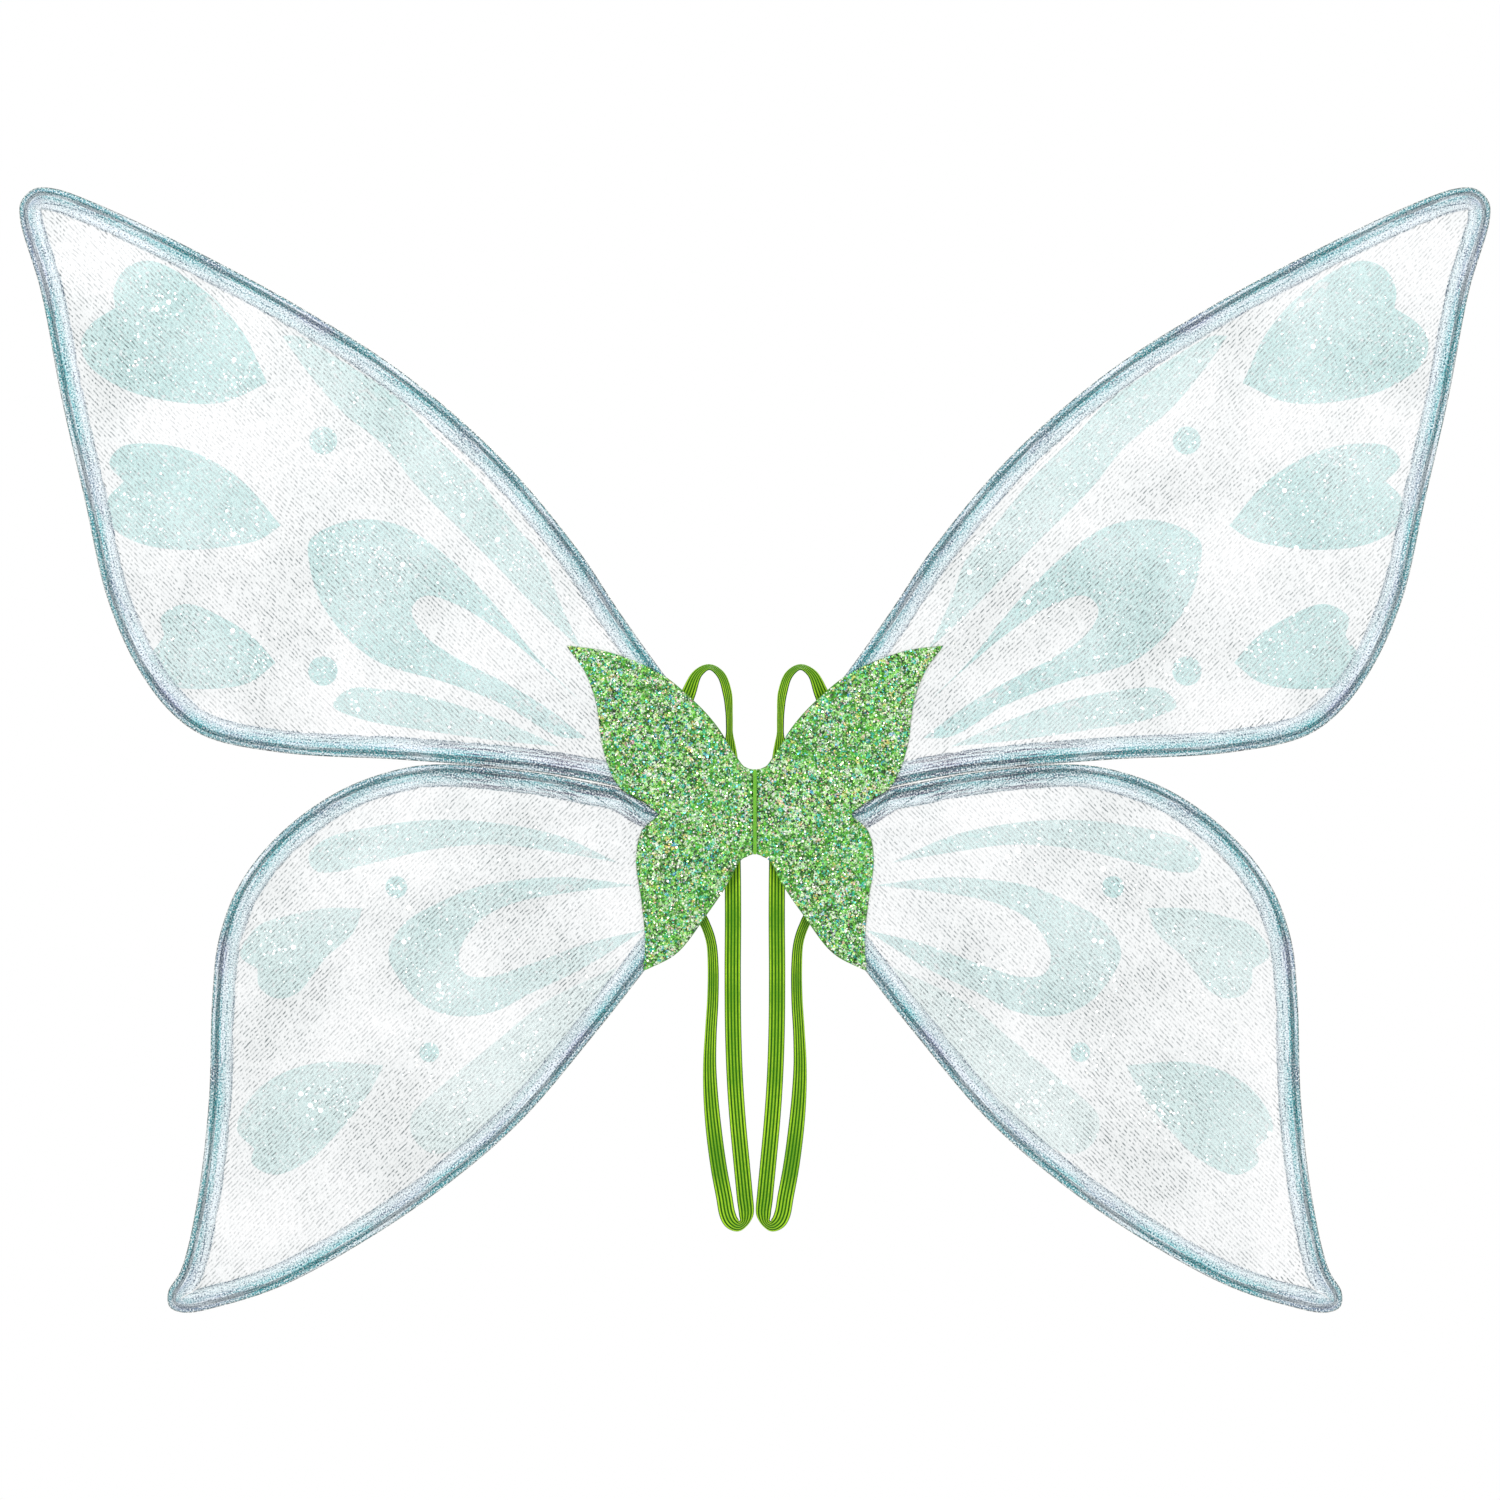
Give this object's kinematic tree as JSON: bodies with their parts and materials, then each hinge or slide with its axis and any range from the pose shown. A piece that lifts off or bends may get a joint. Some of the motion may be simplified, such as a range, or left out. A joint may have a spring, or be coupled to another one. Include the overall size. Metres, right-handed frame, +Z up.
{
  "type": "fairy wings",
  "caption": "Costume fairy wings with wire-framed iridescent sheer wings, a green glitter butterfly-shaped cover and elastic arm loops.",
  "frame": {"origin": "centre of the back pad's flat rear face, which rests on the wearer's back", "axes": "+X across the span to the wearer's right-hand picture side, +Y from the glitter cover towards the wearer's back, +Z up"},
  "size_m": [0.9, 0.013, 0.6885],
  "materials": {
    "steel_wire": "dull galvanised wire seen through the casing",
    "edge_organza": "iridescent blue-grey organza, folded over the wire and stitched",
    "sheer_membrane": "sheer white iridescent fabric with fine ribs, sparkles and pale aqua glitter film",
    "clip_metal": "satin",
    "glitter_cover": "green holographic glitter on felt",
    "cover_backing": "plain green felt",
    "felt_green": "bright green felt",
    "strap_elastic": "ribbed bright green elastic"
  },
  "bodies": {
    "centre": {"spine_core": "felt_green", "centre_welt": "glitter_cover", "back_pad": "felt_green", "left_strap": "strap_elastic", "right_strap": "strap_elastic"},
    "left_upper": {"upper_left_wire": "steel_wire", "upper_left_casing": "edge_organza", "upper_left_membrane": "sheer_membrane", "upper_left_clip": "clip_metal", "upper_left_front_cover": "glitter_cover", "upper_left_back_cover": "cover_backing"},
    "left_lower": {"lower_left_wire": "steel_wire", "lower_left_casing": "edge_organza", "lower_left_membrane": "sheer_membrane", "lower_left_clip": "clip_metal", "lower_left_front_cover": "glitter_cover", "lower_left_back_cover": "cover_backing"},
    "right_upper": {"upper_right_wire": "steel_wire", "upper_right_casing": "edge_organza", "upper_right_membrane": "sheer_membrane", "upper_right_clip": "clip_metal", "upper_right_front_cover": "glitter_cover", "upper_right_back_cover": "cover_backing"},
    "right_lower": {"lower_right_wire": "steel_wire", "lower_right_casing": "edge_organza", "lower_right_membrane": "sheer_membrane", "lower_right_clip": "clip_metal", "lower_right_front_cover": "glitter_cover", "lower_right_back_cover": "cover_backing"}
  },
  "joints": [
    {"name": "left_fold", "type": "hinge", "parent": "centre", "child": "left_upper", "pos_m": [-0.0023, -0.0126, 0], "axis": [0, 0, 1], "range_deg": [0, 72]},
    {"name": "left_lower_flap", "type": "hinge", "parent": "left_upper", "child": "left_lower", "pos_m": [-0.0023, -0.0126, 0], "axis": [0, 0, 1], "range_deg": [0, 15]},
    {"name": "right_fold", "type": "hinge", "parent": "centre", "child": "right_upper", "pos_m": [0.0023, -0.0126, 0], "axis": [0, 0, -1], "range_deg": [0, 72]},
    {"name": "right_lower_flap", "type": "hinge", "parent": "right_upper", "child": "right_lower", "pos_m": [0.0023, -0.0126, 0], "axis": [0, 0, -1], "range_deg": [0, 15]}
  ]
}
